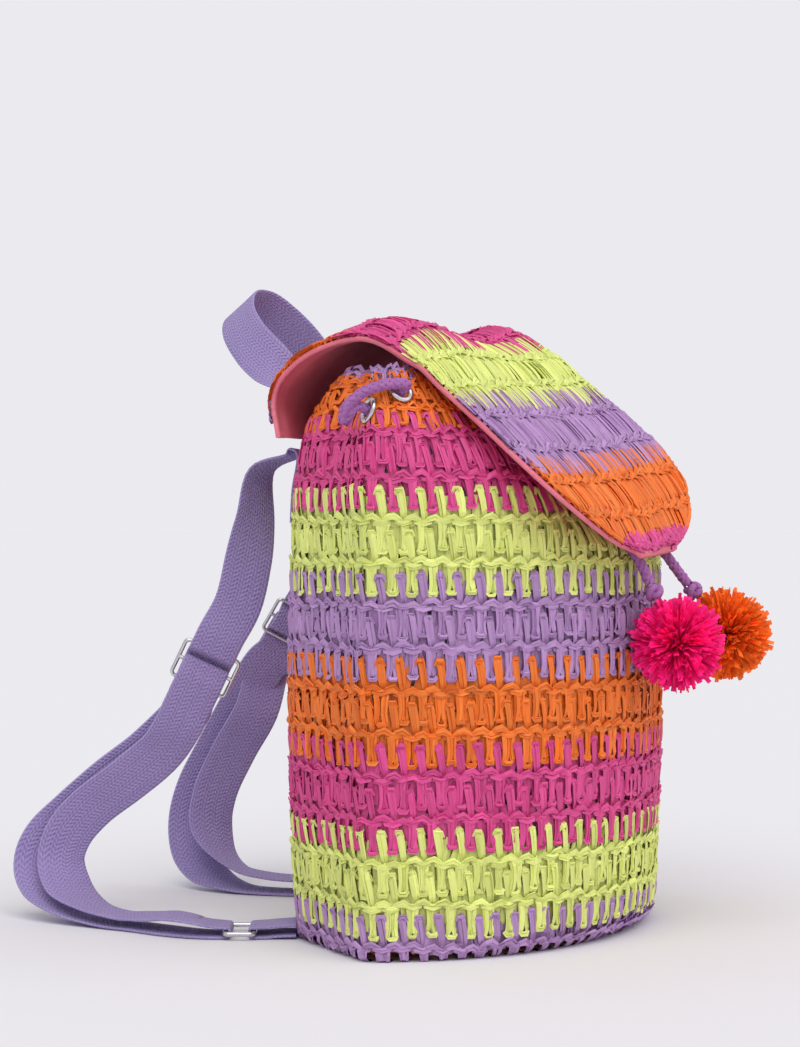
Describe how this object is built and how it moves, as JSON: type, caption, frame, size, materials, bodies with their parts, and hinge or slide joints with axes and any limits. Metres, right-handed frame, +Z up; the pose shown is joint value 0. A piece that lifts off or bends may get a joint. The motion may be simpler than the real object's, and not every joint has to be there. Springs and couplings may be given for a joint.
{
  "type": "backpack",
  "caption": "Small crocheted raffia backpack with a lined flap, a drawcord mouth with pom-poms, a webbing handle and adjustable straps.",
  "frame": {"origin": "middle of the base's underside, on the floor it stands on", "axes": "+Z up, the front with the flap's tip towards -Y, the wearer's back towards +Y, +X to the bag's own left as seen from behind"},
  "size_m": [0.2586, 0.3704, 0.3359],
  "materials": {
    "raffia_lilac": "flat paper raffia ribbon, soft sheen",
    "raffia_lime": "flat paper raffia ribbon, soft sheen",
    "raffia_pink": "flat paper raffia ribbon, soft sheen",
    "raffia_orange": "flat paper raffia ribbon, soft sheen",
    "raffia_magenta": "cut raffia ribbon",
    "webbing_lilac": "woven twill webbing, matt",
    "cord_lilac": "braided cord, matt",
    "lining_mauve": "plain woven cloth",
    "lining_coral": "plain woven cloth, creased",
    "metal_plated": "bright plated steel"
  },
  "bodies": {
    "root": {"base_orange": "raffia_orange", "wall_band_1_lilac": "raffia_lilac", "wall_band_2_lime": "raffia_lime", "wall_band_3_pink": "raffia_pink", "wall_band_4_orange": "raffia_orange", "wall_band_5_lilac": "raffia_lilac", "wall_band_6_lime": "raffia_lime", "wall_band_7_pink": "raffia_pink", "wall_band_8_orange": "raffia_orange", "wall_band_9_lilac_rim": "raffia_lilac", "body_lining": "lining_mauve", "eyelet_front_left": "metal_plated", "eyelet_front_right": "metal_plated", "eyelet_side_front_left": "metal_plated", "eyelet_side_front_right": "metal_plated", "eyelet_side_back_left": "metal_plated", "eyelet_side_back_right": "metal_plated", "eyelet_back_left": "metal_plated", "eyelet_back_right": "metal_plated", "flap_band_1_lilac": "raffia_lilac", "flap_band_2_orange": "raffia_orange", "flap_band_3_pink": "raffia_pink", "flap_band_4_lime": "raffia_lime", "flap_band_5_lilac": "raffia_lilac", "flap_band_6_orange": "raffia_orange", "flap_band_7_pink_tip": "raffia_pink", "flap_lining": "lining_coral", "drawcord_lacing": "cord_lilac", "drawcord_tail_left": "cord_lilac", "drawcord_tail_right": "cord_lilac", "drawcord_knot_left": "cord_lilac", "drawcord_knot_right": "cord_lilac", "pompom_left": "raffia_magenta", "pompom_right": "raffia_orange", "shoulder_strap_left": "webbing_lilac", "shoulder_strap_right": "webbing_lilac", "slider_left": "metal_plated", "slider_right": "metal_plated", "ring_left": "metal_plated", "ring_right": "metal_plated", "ring_tab_left": "webbing_lilac", "ring_tab_right": "webbing_lilac", "handle_loop": "webbing_lilac"}
  },
  "joints": []
}
